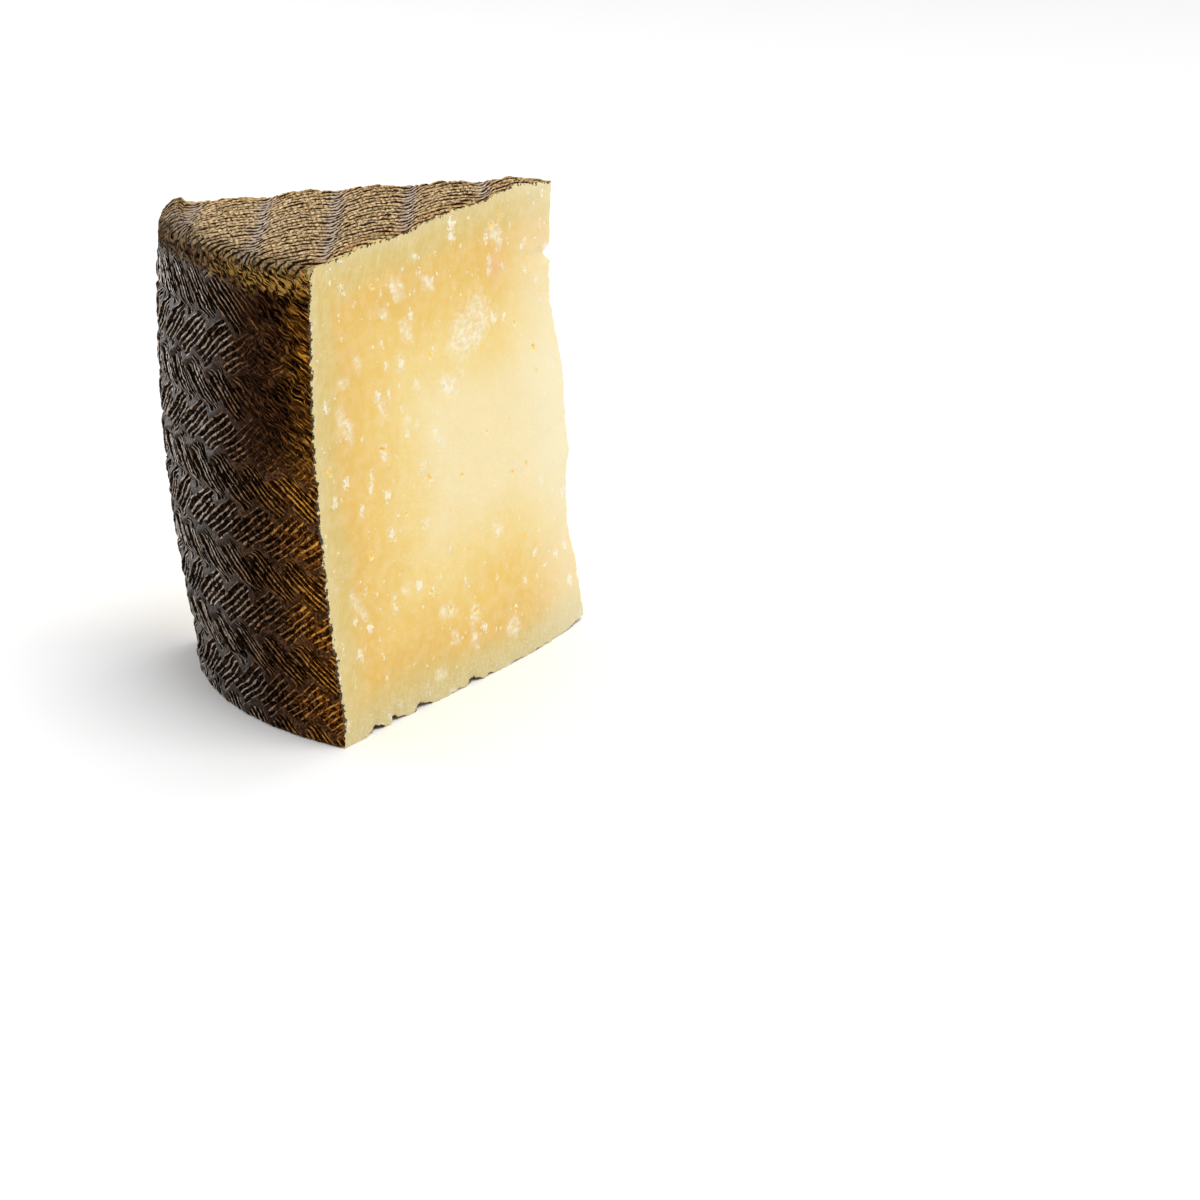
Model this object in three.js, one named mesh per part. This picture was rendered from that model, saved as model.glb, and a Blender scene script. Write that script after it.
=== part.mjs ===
// A wedge cut from a pressed wheel of hard cheese, standing on its foot as the wheel stood.
// Millimetres, +Z up. The wedge's middle line runs along X: the tip, once the wheel's centre,
// points to +X, the rind faces -X, and the two cut faces look towards -Y and +Y.
// The origin is at the middle of the bounding box's underside.
import * as THREE from "three";
import { ImprovedNoise } from "three/addons/math/ImprovedNoise.js";

// Driving dimensions of the wheel and the cut.
const HEIGHT = 110;
const RIM_RADIUS = 91.4; // where the side meets the top and the foot
const BARREL = 4.1; // how far the side swells at half height
const WEDGE_ANGLE = THREE.MathUtils.degToRad(54.5);
const TOP_SHOULDER_FAR = 4.5; // the top's rounded edge, at the far cut and at the near cut
const TOP_SHOULDER_NEAR = 2;
const FOOT_SHOULDER = 0.8;
const FOOT_FLARE = 0.9; // the side leans out again in its lowest stretch
const FOOT_FLARE_REACH = 9;

// The side carries the print of a plaited mould: rows of long leaves that lean left and right
// in turn, laid as a herringbone, with a raised rib between neighbours.
const LEAF_PITCH = 10.5; // between two leaves of one row, measured round the rim
const CHEVRON_PITCH = 20.2; // between two rows that lean the same way
const LEAF_STEPS_LONG = 10; // a leaf's length and width, in steps of the side's mesh
const LEAF_STEPS_WIDE = 4;
const RIB_RISE = 0.3; // above the side's own surface
const LEAF_DEPTH = 0.7; // below the ribs
const LEDGE_DEPTH = 0.65; // more, where a falling leaf comes out from under the row above
const WAIST_DEPTH = 0.3; // more, at the middle of a rising leaf
const PRINT_STEPS_UP = 63; // one leaf's lower left corner, in mesh steps from the foot and the far cut
const PRINT_STEPS_ROUND = 39;
const PRINT_DROOP = 3; // how far the rows sink towards the far cut
const PRINT_WANDER = 0.7;
const PRINT_AT_CUT = 0.6; // share of the print's depth that is left beside a cut

// The tip's broken edge: height, and how far it reaches past the wheel's axis.
const TIP_EDGE = [
  [0, 1.5],
  [14, 0.2],
  [25, -1.7],
  [38, -1.2],
  [43, 0],
  [50, -0.5],
  [64, -0.5],
  [82, -3],
  [91, -2.4],
  [93, -4.3],
  [95, -2.2],
  [HEIGHT, -0.8],
];
const TIP_LEVEL_GAP = 6; // most between two mesh points on the tip

// The knife's path bows: the near face stands proud low down and is hollow at the top.
const BOW_FOOT = 2.6;
const BOW_TOP = 1.3;
const CUT_CRAGS = 0.35; // unevenness of the cut faces
const TOP_RIPPLE = 0.4; // the top's print runs in lanes across the far cut
const TOP_LANE = 16.7;
const TOP_LANE_START = 84; // a valley, this far from the axis along the far cut
const TOP_CROWN = 0.8; // the top's rise towards the axis
const TIP_CORNER_DROP = 1.1; // the top's corner at the tip is worn down
const CHIP_LIFT = 1; // the foot's corner at the tip is chipped off the ground
const CHIP_REACH = 12;
const SCALLOP_LIFT = 0.45; // the foot's edge along a cut
const SCALLOP_PITCH = 9;

// Mesh steps away from the side.
const CUT_COLUMNS = 19;
const CUT_LEVELS = 22;
const FIRST_COLUMN_INSET = 3;
const CAP_STEP = 4.5;

const noise = new ImprovedNoise();
const halfAngle = WEDGE_ANGLE / 2;
const shoulderTurn = Math.PI / 2;
const rimLength = RIM_RADIUS * WEDGE_ANGLE;
const stepsUp = 2 * Math.round((HEIGHT * LEAF_STEPS_LONG) / CHEVRON_PITCH) + 2;
const stepsRound = 2 * Math.round((rimLength * LEAF_STEPS_WIDE) / LEAF_PITCH);

const vertices = [];
const rindTriangles = [];
const pasteTriangles = [];

function addVertex(x, y, z) {
  vertices.push(x, y, z);
  return vertices.length / 3 - 1;
}

const vertexX = (id) => vertices[3 * id];
const vertexY = (id) => vertices[3 * id + 1];

// A rung is a list of { id, at } with at rising from 0 to 1. Two rungs are joined by triangles
// that always step to whichever next point comes first.
function stitch(rungA, rungB, triangles) {
  let a = 0;
  let b = 0;
  while (a < rungA.length - 1 || b < rungB.length - 1) {
    const nextA = a < rungA.length - 1 ? rungA[a + 1].at : Infinity;
    const nextB = b < rungB.length - 1 ? rungB[b + 1].at : Infinity;
    if (nextA <= nextB) {
      triangles.push(rungA[a].id, rungA[a + 1].id, rungB[b].id);
      a += 1;
    } else {
      triangles.push(rungA[a].id, rungB[b + 1].id, rungB[b].id);
      b += 1;
    }
  }
}

function stitchAll(rungs, triangles) {
  for (let i = 1; i < rungs.length; i++)
    stitch(rungs[i - 1], rungs[i], triangles);
}

const reversed = (rung) =>
  rung.map(({ id, at }) => ({ id, at: 1 - at })).reverse();

// The direction out from the wheel's axis, at an angle from the middle line towards -Y.
const bearing = (angle) =>
  new THREE.Vector2(-Math.cos(angle), -Math.sin(angle));

const sideLength = (topShoulder) =>
  HEIGHT + (shoulderTurn - 1) * (topShoulder + FOOT_SHOULDER);

// Radius and height at a distance up along the side, from the foot round both shoulders.
function sideProfile(distance, topShoulder) {
  const footTurn = Math.max(0, distance) / FOOT_SHOULDER;
  const toTop = Math.max(0, sideLength(topShoulder) - distance);
  const topTurn = toTop / topShoulder;
  let z = FOOT_SHOULDER + distance - shoulderTurn * FOOT_SHOULDER;
  let inset = 0;
  if (footTurn < shoulderTurn) {
    z = FOOT_SHOULDER * (1 - Math.cos(footTurn));
    inset = FOOT_SHOULDER * (1 - Math.sin(footTurn));
  } else if (topTurn < shoulderTurn) {
    z = HEIGHT - topShoulder * (1 - Math.cos(topTurn));
    inset = topShoulder * (1 - Math.sin(topTurn));
  }
  const share = z / HEIGHT;
  const swell = 4 * BARREL * share * (1 - share);
  const flare = FOOT_FLARE * Math.max(0, 1 - z / FOOT_FLARE_REACH) ** 2;
  return new THREE.Vector2(RIM_RADIUS + swell + flare - inset, z);
}

// Where a point of the print lies in its leaf: along and across run from 0 to 1.
// "down" counts steps that fall to the right, and "up" steps that rise to the right.
function leafAt(down, up) {
  const long = LEAF_STEPS_LONG;
  const wide = LEAF_STEPS_WIDE;
  const middle = Math.round((down - up) / (2 * long));
  for (let pair = middle - 1; pair <= middle + 1; pair++) {
    const fallingRow = Math.floor((up + pair * long) / wide);
    const fallen = down - fallingRow * wide - pair * long;
    if (fallen >= 0 && fallen <= long)
      return {
        falling: true,
        along: fallen / long,
        across: (up + pair * long) / wide - fallingRow,
      };
    const risingRow = Math.floor((down - (pair + 1) * long) / wide);
    const risen = up - risingRow * wide + pair * long - (wide - long);
    if (risen >= 0 && risen <= long)
      return {
        falling: false,
        along: risen / long,
        across: (down - (pair + 1) * long) / wide - risingRow,
      };
  }
  throw new Error("a point of the print lies in no leaf");
}

// How far the print presses into the side, in millimetres.
function printDepth(round, up) {
  const fromLeft = round - PRINT_STEPS_ROUND;
  const fromBelow = up - PRINT_STEPS_UP;
  const leaf = leafAt((fromLeft - fromBelow) / 2, (fromLeft + fromBelow) / 2);
  const toSide = Math.min(leaf.across, 1 - leaf.across) * LEAF_STEPS_WIDE;
  const toEnd = Math.min(leaf.along, 1 - leaf.along) * LEAF_STEPS_LONG;
  const pressed = Math.min(1, toSide, toEnd);
  const extra = leaf.falling
    ? LEDGE_DEPTH * (1 - leaf.along) ** 2
    : WAIST_DEPTH * Math.sin(Math.PI * leaf.along);
  return pressed * (LEAF_DEPTH + extra);
}

// The side: one rung for each mesh row, each from the far cut to the near cut. Neighbouring
// rows are offset by half a step, so that mesh edges run along the leaves.
function sideRungs() {
  const rungs = [];
  for (let up = 0; up <= stepsUp; up++) {
    const rung = [];
    for (let round = 0; round <= stepsRound; round++) {
      const atBorder = round === 0 || round === stepsRound;
      if ((round + up) % 2 && !atBorder) continue;
      const across = round / stepsRound;
      const toBorder = Math.min(1, 5 * across, 5 * (1 - across));
      const printShare = THREE.MathUtils.lerp(PRINT_AT_CUT, 1, toBorder);
      const topShoulder = THREE.MathUtils.lerp(
        TOP_SHOULDER_FAR,
        TOP_SHOULDER_NEAR,
        across,
      );
      const upShare = up / stepsUp;
      const toRim = Math.min(1, 10 * upShare, 10 * (1 - upShare));
      const wander = noise.noise(round / 9, up / 13, 0.5) * PRINT_WANDER;
      const droop = PRINT_DROOP * THREE.MathUtils.smoothstep(1 - across, 0.5, 1);
      const angle =
        (across - 0.5) * WEDGE_ANGLE + (toBorder * wander) / RIM_RADIUS;
      const distance =
        upShare * sideLength(topShoulder) + toRim * (wander - droop);
      const depth = toRim * (printShare * printDepth(round, up) - RIB_RISE);
      const here = sideProfile(distance, topShoulder);
      const above = sideProfile(distance + 0.1, topShoulder);
      const below = sideProfile(distance - 0.1, topShoulder);
      const slope = above.sub(below).normalize();
      const radius = here.x - depth * slope.y;
      const way = bearing(angle);
      const z = here.y + depth * slope.x;
      const id = addVertex(way.x * radius, way.y * radius, z);
      rung.push({ id, at: across });
    }
    rungs.push(rung);
  }
  return rungs;
}

// Height of the top and of the foot at a point of the plan.
function topHeight(x, y) {
  const fromAxis = Math.hypot(x, y) / RIM_RADIUS;
  const alongFarCut = y * Math.sin(halfAngle) - x * Math.cos(halfAngle);
  const lane = (2 * Math.PI * (alongFarCut - TOP_LANE_START)) / TOP_LANE;
  const inside = Math.min(1, 4 * Math.max(0, 1 - fromAxis));
  const corner = TIP_CORNER_DROP * Math.max(0, 1 - 8 * fromAxis);
  const print = TOP_CROWN * (1 - fromAxis) - TOP_RIPPLE * Math.cos(lane);
  return HEIGHT + inside * print - corner;
}

function footHeight(x, y, atCut) {
  const fromAxis = Math.hypot(x, y);
  const chip = CHIP_LIFT * Math.max(0, 1 - fromAxis / CHIP_REACH);
  const scallop = Math.sin((Math.PI * fromAxis) / SCALLOP_PITCH) ** 2;
  return atCut ? Math.max(chip, SCALLOP_LIFT * scallop) : 0;
}

// How far the tip's edge reaches past the wheel's axis at a height.
function tipReach(z) {
  const above = Math.max(1, TIP_EDGE.findIndex(([height]) => height >= z));
  const [lowZ, lowReach] = TIP_EDGE[above - 1];
  const [highZ, highReach] = TIP_EDGE[above];
  return THREE.MathUtils.mapLinear(z, lowZ, highZ, lowReach, highReach);
}

// A point of a cut face, at a share of the way from the tip to the rim, and at a height.
function cutPoint(side, share, z) {
  const rimRadius = RIM_RADIUS + (4 * BARREL * z * (HEIGHT - z)) / HEIGHT ** 2;
  const out = new THREE.Vector2(Math.sin(halfAngle), side * Math.cos(halfAngle));
  const rim = bearing(-side * halfAngle).multiplyScalar(rimRadius);
  const tip = new THREE.Vector2(tipReach(z), 0);
  const bowAtHeight = THREE.MathUtils.lerp(BOW_FOOT, -BOW_TOP, z / HEIGHT);
  const bow = bowAtHeight * Math.sin(Math.PI * (1 - share) ** 1.8);
  const crag = CUT_CRAGS * noise.noise(share * 14, z / 8, side * 3.7);
  const inside = Math.min(1, 12 * share, 12 * (1 - share));
  return tip.lerp(rim, share).addScaledVector(out, bow + inside * crag);
}

// A cut face: one rung for each column from the rim to the tip, each from the foot to the top.
// The first is the side's own border, and both faces end in the same tip.
function cutRungs(side, rimRung, tipRung) {
  const firstShare = 1 - (TOP_SHOULDER_FAR + FIRST_COLUMN_INSET) / RIM_RADIUS;
  const rungs = [rimRung];
  for (let column = 0; column < CUT_COLUMNS; column++) {
    const share = firstShare * (1 - column / CUT_COLUMNS);
    const rung = [];
    for (let level = 0; level <= CUT_LEVELS; level++) {
      const at = level / CUT_LEVELS;
      const plan = cutPoint(side, share, at * HEIGHT);
      let z = at * HEIGHT;
      if (level === 0) z = footHeight(plan.x, plan.y, true);
      if (level === CUT_LEVELS) z = topHeight(plan.x, plan.y);
      rung.push({ id: addVertex(plan.x, plan.y, z), at });
    }
    rungs.push(rung);
  }
  rungs.push(tipRung);
  return rungs;
}

function tipRungFromEdge() {
  const heights = [0];
  for (let i = 1; i < TIP_EDGE.length; i++) {
    const gap = TIP_EDGE[i][0] - TIP_EDGE[i - 1][0];
    const parts = Math.ceil(gap / TIP_LEVEL_GAP);
    for (let part = 1; part <= parts; part++)
      heights.push(TIP_EDGE[i - 1][0] + (gap * part) / parts);
  }
  return heights.map((z) => {
    const x = tipReach(z);
    let height = z;
    if (z === 0) height = footHeight(x, 0, true);
    if (z === HEIGHT) height = topHeight(x, 0);
    return { id: addVertex(x, 0, height), at: z / HEIGHT };
  });
}

// The top or the foot: one rung for each arc, from the tip out to the side's own end row.
// Each arc starts and ends on the two cut faces' borders.
function capRungs(farEnds, nearEnds, sideEndRung, heightAt) {
  const rungs = [[{ id: farEnds[farEnds.length - 1], at: 0 }]];
  for (let i = farEnds.length - 2; i > 0; i--) {
    const farId = farEnds[i];
    const nearId = nearEnds[i];
    const far = new THREE.Vector2(vertexX(farId), vertexY(farId));
    const near = new THREE.Vector2(vertexX(nearId), vertexY(nearId));
    const radius = (far.length() + near.length()) / 2;
    const parts = Math.max(1, Math.round((radius * WEDGE_ANGLE) / CAP_STEP));
    const rung = [{ id: farId, at: 0 }];
    for (let part = 1; part < parts; part++) {
      const at = part / parts;
      const turn = (at - 0.5) * WEDGE_ANGLE;
      const straight = far.clone().lerp(near, at);
      const sag = radius * (1 - Math.cos(halfAngle) / Math.cos(turn));
      const point = straight.addScaledVector(bearing(turn), sag);
      const z = heightAt(point.x, point.y, false);
      rung.push({ id: addVertex(point.x, point.y, z), at });
    }
    rung.push({ id: nearId, at: 1 });
    rungs.push(rung);
  }
  rungs.push(sideEndRung);
  return rungs;
}

const side = sideRungs();
const farBorder = side.map((rung, up) => ({
  id: rung[0].id,
  at: up / stepsUp,
}));
const nearBorder = side.map((rung, up) => ({
  id: rung[rung.length - 1].id,
  at: up / stepsUp,
}));
const tip = tipRungFromEdge();
const farCut = cutRungs(1, farBorder, tip);
const nearCut = cutRungs(-1, nearBorder, tip);

const topEnds = (rungs) => rungs.map((rung) => rung[rung.length - 1].id);
const footEnds = (rungs) => rungs.map((rung) => rung[0].id);
const top = capRungs(
  topEnds(farCut),
  topEnds(nearCut),
  side[side.length - 1],
  topHeight,
);
const foot = capRungs(
  footEnds(farCut),
  footEnds(nearCut),
  side[0],
  footHeight,
);

stitchAll(side, rindTriangles);
stitchAll(top.reverse(), rindTriangles);
stitchAll(foot, rindTriangles);
stitchAll(farCut, pasteTriangles);
stitchAll(nearCut.map(reversed), pasteTriangles);

const geometry = new THREE.BufferGeometry();
geometry.setAttribute(
  "position",
  new THREE.Float32BufferAttribute(vertices, 3),
);
geometry.setIndex([...rindTriangles, ...pasteTriangles]);
geometry.addGroup(0, rindTriangles.length, 0);
geometry.addGroup(rindTriangles.length, pasteTriangles.length, 1);
geometry.computeBoundingBox();
const { min, max } = geometry.boundingBox;
geometry.translate(-(min.x + max.x) / 2, -(min.y + max.y) / 2, -min.z);
geometry.computeVertexNormals();

const rindMaterial = new THREE.MeshStandardMaterial({
  name: "rind",
  color: 0x4a3826,
  roughness: 0.55,
  metalness: 0,
});
const pasteMaterial = new THREE.MeshStandardMaterial({
  name: "paste",
  color: 0xf0dda6,
  roughness: 0.6,
  metalness: 0,
});

const wedge = new THREE.Mesh(geometry, [rindMaterial, pasteMaterial]);
wedge.name = "cheese_wedge";

const cheese = new THREE.Group();
cheese.add(wedge);

export default cheese;
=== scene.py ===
"""Looks of a wedge cut from a pressed wheel of hard cheese, with a plaited rind and pale paste."""

import math

import bpy
import numpy as np
from mathutils import Matrix, Vector, geometry, kdtree


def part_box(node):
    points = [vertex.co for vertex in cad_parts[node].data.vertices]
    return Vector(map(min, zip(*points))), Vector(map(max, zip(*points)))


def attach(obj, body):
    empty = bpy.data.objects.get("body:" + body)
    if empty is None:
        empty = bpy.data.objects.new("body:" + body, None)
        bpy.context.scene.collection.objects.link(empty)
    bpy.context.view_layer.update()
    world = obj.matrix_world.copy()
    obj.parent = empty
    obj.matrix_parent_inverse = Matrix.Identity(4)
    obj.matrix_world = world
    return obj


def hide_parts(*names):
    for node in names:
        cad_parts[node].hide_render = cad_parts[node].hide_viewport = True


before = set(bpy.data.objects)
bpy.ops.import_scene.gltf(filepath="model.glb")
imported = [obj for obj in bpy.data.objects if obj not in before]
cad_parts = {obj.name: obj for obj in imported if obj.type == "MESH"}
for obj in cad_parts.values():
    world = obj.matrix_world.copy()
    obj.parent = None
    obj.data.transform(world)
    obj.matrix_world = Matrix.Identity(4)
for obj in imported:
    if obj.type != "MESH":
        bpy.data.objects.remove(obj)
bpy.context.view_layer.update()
cad_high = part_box("cheese_wedge")[1]

MM = 0.001  # the wheel's sizes are in millimetres, and the scene is in metres

# The wheel and the cut, as in the CAD solid, apart from a foot that flares a little more.
HEIGHT = 110.0
RIM_RADIUS = 91.4  # where the side meets the top and the foot
BARREL = 4.1  # how far the side swells at half height
WEDGE_ANGLE = math.radians(54.5)
HALF_ANGLE = WEDGE_ANGLE / 2
TOP_SHOULDER_FAR = 4.5  # the top's rounded edge, at the far cut and at the near cut
TOP_SHOULDER_NEAR = 2.0
FOOT_SHOULDER = 0.8
FOOT_FLARE = 1.5  # the side leans out again in its lowest stretch
FOOT_FLARE_REACH = 9.0

# The tip's broken edge: height, and how far it reaches past the wheel's axis.
TIP_REACH_AT_FOOT = 1.5
TIP_LEAN = 2.5  # how much less an even tip reaches at the top
TIP_EDGE = (
    (0, TIP_REACH_AT_FOOT), (14, 0.2), (25, -1.7), (38, -1.2), (43, 0), (50, -0.5), (64, -0.5),
    (82, -3), (91, -2.4), (93, -4.3), (95, -2.2), (HEIGHT, -0.8),
)
TIP_POINTS = 190

# The knife's path bows: the near face stands proud low down and is hollow at the top.
BOW_FOOT = 2.6
BOW_TOP = 1.3

AXIS_X = cad_high.x / MM - TIP_REACH_AT_FOOT  # the wheel's axis, in the frame

# The plaited print: leaves in herringbone rows, as in the CAD solid, with finer steps.
LEAF_PITCH = 10.5  # between two leaves of one row, measured round the rim
CHEVRON_PITCH = 20.2  # between two rows that lean the same way
LEAF_STEPS_LONG = 42  # a leaf's length and width, in steps of the side's mesh
LEAF_STEPS_WIDE = 16
SHOULDER_STEPS = 8
STEP_ROUND = LEAF_PITCH / (2 * LEAF_STEPS_WIDE)
STEP_UP = CHEVRON_PITCH / (2 * LEAF_STEPS_LONG)
RIM_LENGTH = RIM_RADIUS * WEDGE_ANGLE
STEPS_ROUND = 2 * round(RIM_LENGTH / STEP_ROUND / 2)
STEPS_UP = 2 * round(HEIGHT / STEP_UP / 2) + SHOULDER_STEPS
PRINT_FROM_FAR = 51.2  # one leaf's lower left corner
PRINT_FROM_FOOT = 62.6
PRINT_STEPS_ROUND = 2 * round(PRINT_FROM_FAR / STEP_ROUND / 2)
PRINT_STEPS_UP = 2 * round(PRINT_FROM_FOOT / STEP_UP / 2)
PRINT_DROOP = 3.0  # how far the rows sink towards the far cut
LEAF_ARCH = 0.25  # the leaves bow up and down by this
LEAF_ARCH_FROM = LEAF_STEPS_LONG - LEAF_STEPS_WIDE / 2

# The print's relief, in millimetres: ribs above the side's surface, all else below the ribs.
RIB_RISE = 0.3
LEAF_FLOOR = 0.1
GROOVE_DEPTH = 0.7
RISING_SHARE = 0.5  # of that depth, in a rising leaf
LEDGE_DEPTH = 1.1  # where a falling leaf comes out from under the row above
WAIST_DEPTH = 0.45  # at the middle of a rising leaf
VALLEY_DEPTH_FAR = 1.1  # between two rows, at the far cut and at the near cut
VALLEY_DEPTH_NEAR = 0.35
VALLEY_STEPS = 5.0  # its half width

# Each kind of leaf's first groove and pitch of grooves, in steps across it, and the number of its
# last groove, counted from 0.
FALLING_FIRST, FALLING_PITCH, FALLING_LAST = 1.6, 3.2, 4
RISING_FIRST, RISING_PITCH, RISING_LAST = 2.0, 4.0, 3

# How far inside its leaf a groove starts and ends, in steps, and how much more for each groove
# that it lies off the leaf's middle.
GROOVE_ENDS = ((0.6, 5, 5), (0.5, 4, 7))  # at least, by chance, and the chance's seed
OUTER_INSET = 0.5

# The print is worn to close lines beside the near cut from this height up, and under the top.
WORN_FROM, WORN_TO = 60, 72
WORN_NEAR, WORN_OFF = -13, -24
TOP_WORN_FROM, TOP_WORN_TO = 101, 105
STREAK_RUN, STREAK_FALL = 0.82, 0.57  # how far the worn skin's streaks run round for their fall

# The top's print of the pressing cloth: rows that climb from lane to lane, and dip at each lane.
LANE_PITCH = 16.7
LANE_START = 84.0
LANE_DIP = 1.9
LANE_RISE = 4.3
CLOTH_ROW = 3.0
CLOTH_SLOPE = 0.6
CLOTH_BEAD = 1.15
CLOTH_DEPTH = 0.65
TOP_CROWN = 0.8  # the top's rise towards the axis
TOP_RIPPLE = 0.4
TOP_FALL = 0.9  # lower towards the far end of the rim
TIP_CORNER_DROP = 1.1

# The foot's edge along a cut.
SCALLOP_PITCH = 8.6
SCALLOP_LIFT = 1.0
FOOT_NOTCH = 1.4  # how deep the scallops cut into the face
CHIP_REACH = 12  # the foot is chipped this far from the axis

# Mesh steps of the top, the foot, their edges and the cut faces.
TOP_STEP = 0.66
FOOT_STEP = 1.9
BORDER_STEP = 0.62
COARSE_STEP = 1.8
CRUMB_STEP = 0.8
FINE_STEP = 0.42
RIM_STEP = 0.3
STEP_GROWTH = 0.35
STEP_JITTER = 0.22

NOISE_CELLS = 64


def smooth(x, low, high):
    """0 below low, 1 above high, and smooth between."""
    share = np.clip((x - low) / (high - low), 0, 1)
    return share * share * (3 - 2 * share)


def noise(u, v, seed):
    """Gradient noise, about -1 to 1, with one lattice cell per unit."""
    angles = np.random.default_rng(seed).uniform(0, 2 * np.pi, (NOISE_CELLS, NOISE_CELLS))
    across, up = np.cos(angles), np.sin(angles)
    i, j = np.floor(u).astype(int), np.floor(v).astype(int)
    a, b = u - i, v - j

    def corner(di, dj):
        at = ((i + di) % NOISE_CELLS, (j + dj) % NOISE_CELLS)
        return across[at] * (a - di) + up[at] * (b - dj)

    fade_a = a * a * a * (a * (6 * a - 15) + 10)
    fade_b = b * b * b * (b * (6 * b - 15) + 10)
    low = corner(0, 0) * (1 - fade_a) + corner(1, 0) * fade_a
    high = corner(0, 1) * (1 - fade_a) + corner(1, 1) * fade_a
    return 1.5 * (low * (1 - fade_b) + high * fade_b)


def layers(u, v, *terms):
    """A sum of noises, each given as its height, the two sides of its cell and its seed."""
    return sum(height * noise(u / wide, v / tall, seed) for height, wide, tall, seed in terms)


def scatter(*keys, seed):
    """A number from 0 to 1 for each set of whole numbers, always the same one."""
    table = np.random.default_rng(seed).uniform(0, 1, 4096)
    mixed = 0
    for key, prime in zip(keys, (73856093, 19349663, 83492791), strict=False):
        mixed = mixed ^ (np.asarray(key, dtype=np.int64) * prime)
    return table[mixed % 4096]


def between(first, last, share):
    return first + (last - first) * share


def bearing(angle):
    """The direction out from the axis, at an angle from the middle line towards the near cut."""
    return np.stack([-np.cos(angle), -np.sin(angle)], -1)


def rim_way(side):
    """The direction from the axis to the rim along a cut: side is 1 at the far cut, -1 at the near."""
    return bearing(np.array(-side * HALF_ANGLE))


def outward(side):
    """The direction square out of a cut."""
    return np.array([math.sin(HALF_ANGLE), side * math.cos(HALF_ANGLE)])


def swollen_radius(z):
    """The side's radius at a height, apart from its shoulders and its flare."""
    return RIM_RADIUS + 4 * BARREL * z * (HEIGHT - z) / HEIGHT**2


def side_length(top_shoulder):
    return HEIGHT + (math.pi / 2 - 1) * (top_shoulder + FOOT_SHOULDER)


def side_profile(distance, top_shoulder):
    """Radius and height at a distance up along the side, round both shoulders."""
    foot_turn = np.clip(distance, 0, None) / FOOT_SHOULDER
    top_turn = np.clip(side_length(top_shoulder) - distance, 0, None) / top_shoulder
    in_foot = foot_turn < math.pi / 2
    in_top = top_turn < math.pi / 2
    z = FOOT_SHOULDER + distance - math.pi / 2 * FOOT_SHOULDER
    z = np.where(in_foot, FOOT_SHOULDER * (1 - np.cos(foot_turn)), z)
    z = np.where(in_top, HEIGHT - top_shoulder * (1 - np.cos(top_turn)), z)
    inset = np.where(in_foot, FOOT_SHOULDER * (1 - np.sin(foot_turn)), 0)
    inset = np.where(in_top, top_shoulder * (1 - np.sin(top_turn)), inset)
    flare = FOOT_FLARE * np.clip(1 - z / FOOT_FLARE_REACH, 0, None) ** 2
    return swollen_radius(z) + flare - inset, z


def tip_reach(z):
    heights, reaches = zip(*TIP_EDGE, strict=True)
    return np.interp(z, heights, reaches)


class Shell:
    """Points with their values, and the patches of triangles over them. The side's patch comes
    first, and corners holds five more values for each corner of its triangles."""

    NAMES = "worn to_cut cap row strand lane eye crumb edge blush notch".split()

    def __init__(self):
        self.points = np.zeros((0, 3))
        self.values = {name: np.zeros(0) for name in self.NAMES}
        self.patches = []
        self.corners = np.zeros((0, 5))

    def add(self, points, **values):
        first = len(self.points)
        self.points = np.concatenate([self.points, points])
        for name, known in self.values.items():
            new = np.broadcast_to(values.get(name, 0.0), len(points))
            self.values[name] = np.concatenate([known, new])
        return np.arange(first, len(self.points))

    def plan(self, ids):
        """The points' x and y."""
        return self.points[ids, 0], self.points[ids, 1]

    def patch(self, name, triangles, ids, places):
        """A patch over the points ids, with their places on the texture map in millimetres."""
        table = np.zeros((len(self.points), 2))
        table[ids] = places
        self.patches.append((name, np.array(triangles), table))


def ladder(rungs):
    """Triangles between rungs of (ids, shares), stepping to whichever next point comes first."""
    triangles = []
    for (ids_a, at_a), (ids_b, at_b) in zip(rungs, rungs[1:], strict=False):
        a = b = 0
        last_a, last_b = len(ids_a) - 1, len(ids_b) - 1
        while a < last_a or b < last_b:
            if b == last_b or (a < last_a and at_a[a + 1] <= at_b[b + 1]):
                triangles.append((ids_a[a], ids_a[a + 1], ids_b[b]))
                a += 1
            else:
                triangles.append((ids_a[a], ids_b[b + 1], ids_b[b]))
                b += 1
    return triangles


# ---------------------------------------------------------------- the plaited side


def in_leaf(down, up, falling, row, pair):
    """Steps along and across a leaf."""
    long, wide = LEAF_STEPS_LONG, LEAF_STEPS_WIDE
    falling_along = down - row * wide - pair * long
    falling_across = up + pair * long - row * wide
    rising_along = up - row * wide + pair * long - (wide - long)
    rising_across = down - (pair + 1) * long - row * wide
    along = np.where(falling, falling_along, rising_along)
    return along, np.where(falling, falling_across, rising_across)


def leaf_at(down, up):
    """The leaf that holds each point: whether it falls, its row and its pair of rows."""
    long, wide = LEAF_STEPS_LONG, LEAF_STEPS_WIDE
    falling = np.zeros(len(down), bool)
    found = np.zeros(len(down), bool)
    row, pair = np.zeros((2, len(down)))
    middle = np.round((down - up) / (2 * long))
    for near in (middle - 1, middle, middle + 1):
        for falls, steps in ((True, up + near * long), (False, down - (near + 1) * long)):
            at = np.floor(steps / wide)
            along, _ = in_leaf(down, up, falls, at, near)
            here = ~found & (along >= 0) & (along <= long)
            falling = np.where(here, falls, falling)
            row = np.where(here, at, row)
            pair = np.where(here, near, pair)
            found |= here
    return falling, row, pair


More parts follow.
